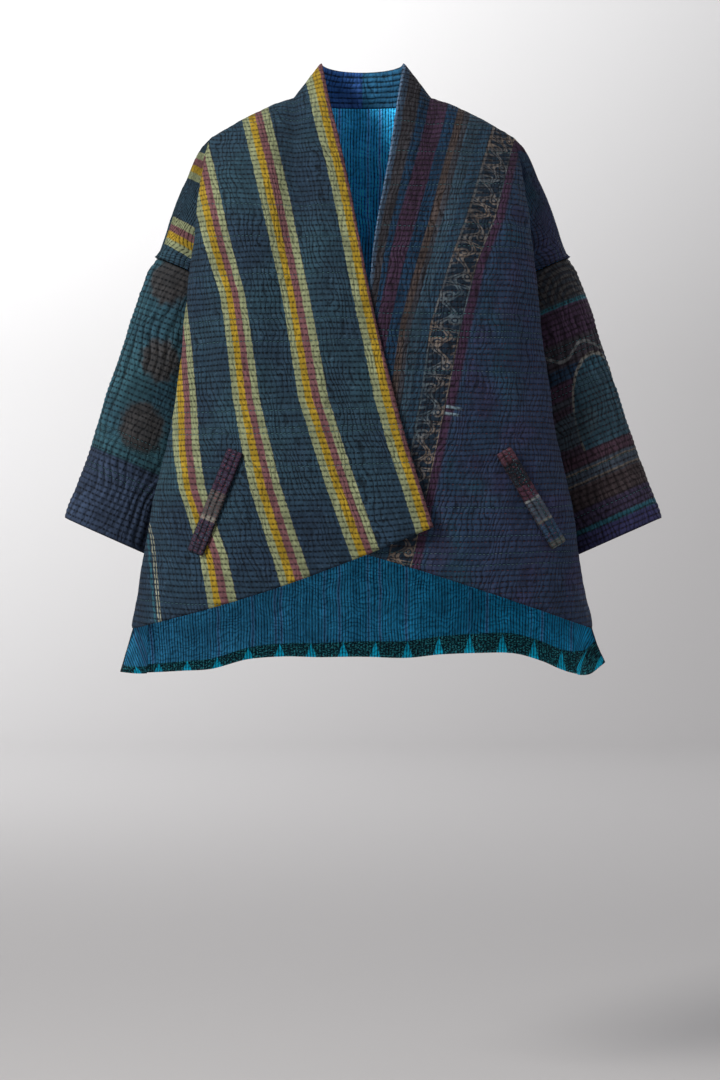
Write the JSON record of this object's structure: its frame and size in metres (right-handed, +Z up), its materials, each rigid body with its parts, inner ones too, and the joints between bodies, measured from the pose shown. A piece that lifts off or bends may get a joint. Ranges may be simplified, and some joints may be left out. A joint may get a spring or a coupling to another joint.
{
  "type": "kimono jacket",
  "caption": "Open-front quilted kimono jacket with a standing collar, dropped shoulders, wide sleeves, slanted welt pockets and a longer back, filled out as worn.",
  "frame": {"origin": "middle of the neck opening, level with the points where the shoulder seams meet the collar", "axes": "+Z up, +X towards the wearer's left, the front faces -Y"},
  "size_m": [0.819, 0.2659, 0.8296],
  "materials": {
    "right_front": "washed cotton, quilted, navy with sage, mustard and mauve stripes",
    "left_front": "washed cotton, quilted, dark navy with maroon, brown and teal bands",
    "back": "washed cotton, quilted, navy outside and blue inside",
    "right_sleeve": "washed cotton, quilted, dark teal with brown spots",
    "left_sleeve": "washed cotton, quilted, dark maroon, brown and navy",
    "right_collar": "washed cotton, quilted, purple blue",
    "left_collar": "washed cotton, quilted, teal blue",
    "right_welt": "washed cotton, quilted, dark maroon",
    "left_welt": "washed cotton, quilted, maroon and grey blue"
  },
  "bodies": {
    "root": {"right_front": "right_front", "left_front": "left_front", "back": "back", "right_sleeve": "right_sleeve", "left_sleeve": "left_sleeve", "right_collar": "right_collar", "left_collar": "left_collar", "right_welt": "right_welt", "left_welt": "left_welt"}
  },
  "joints": []
}
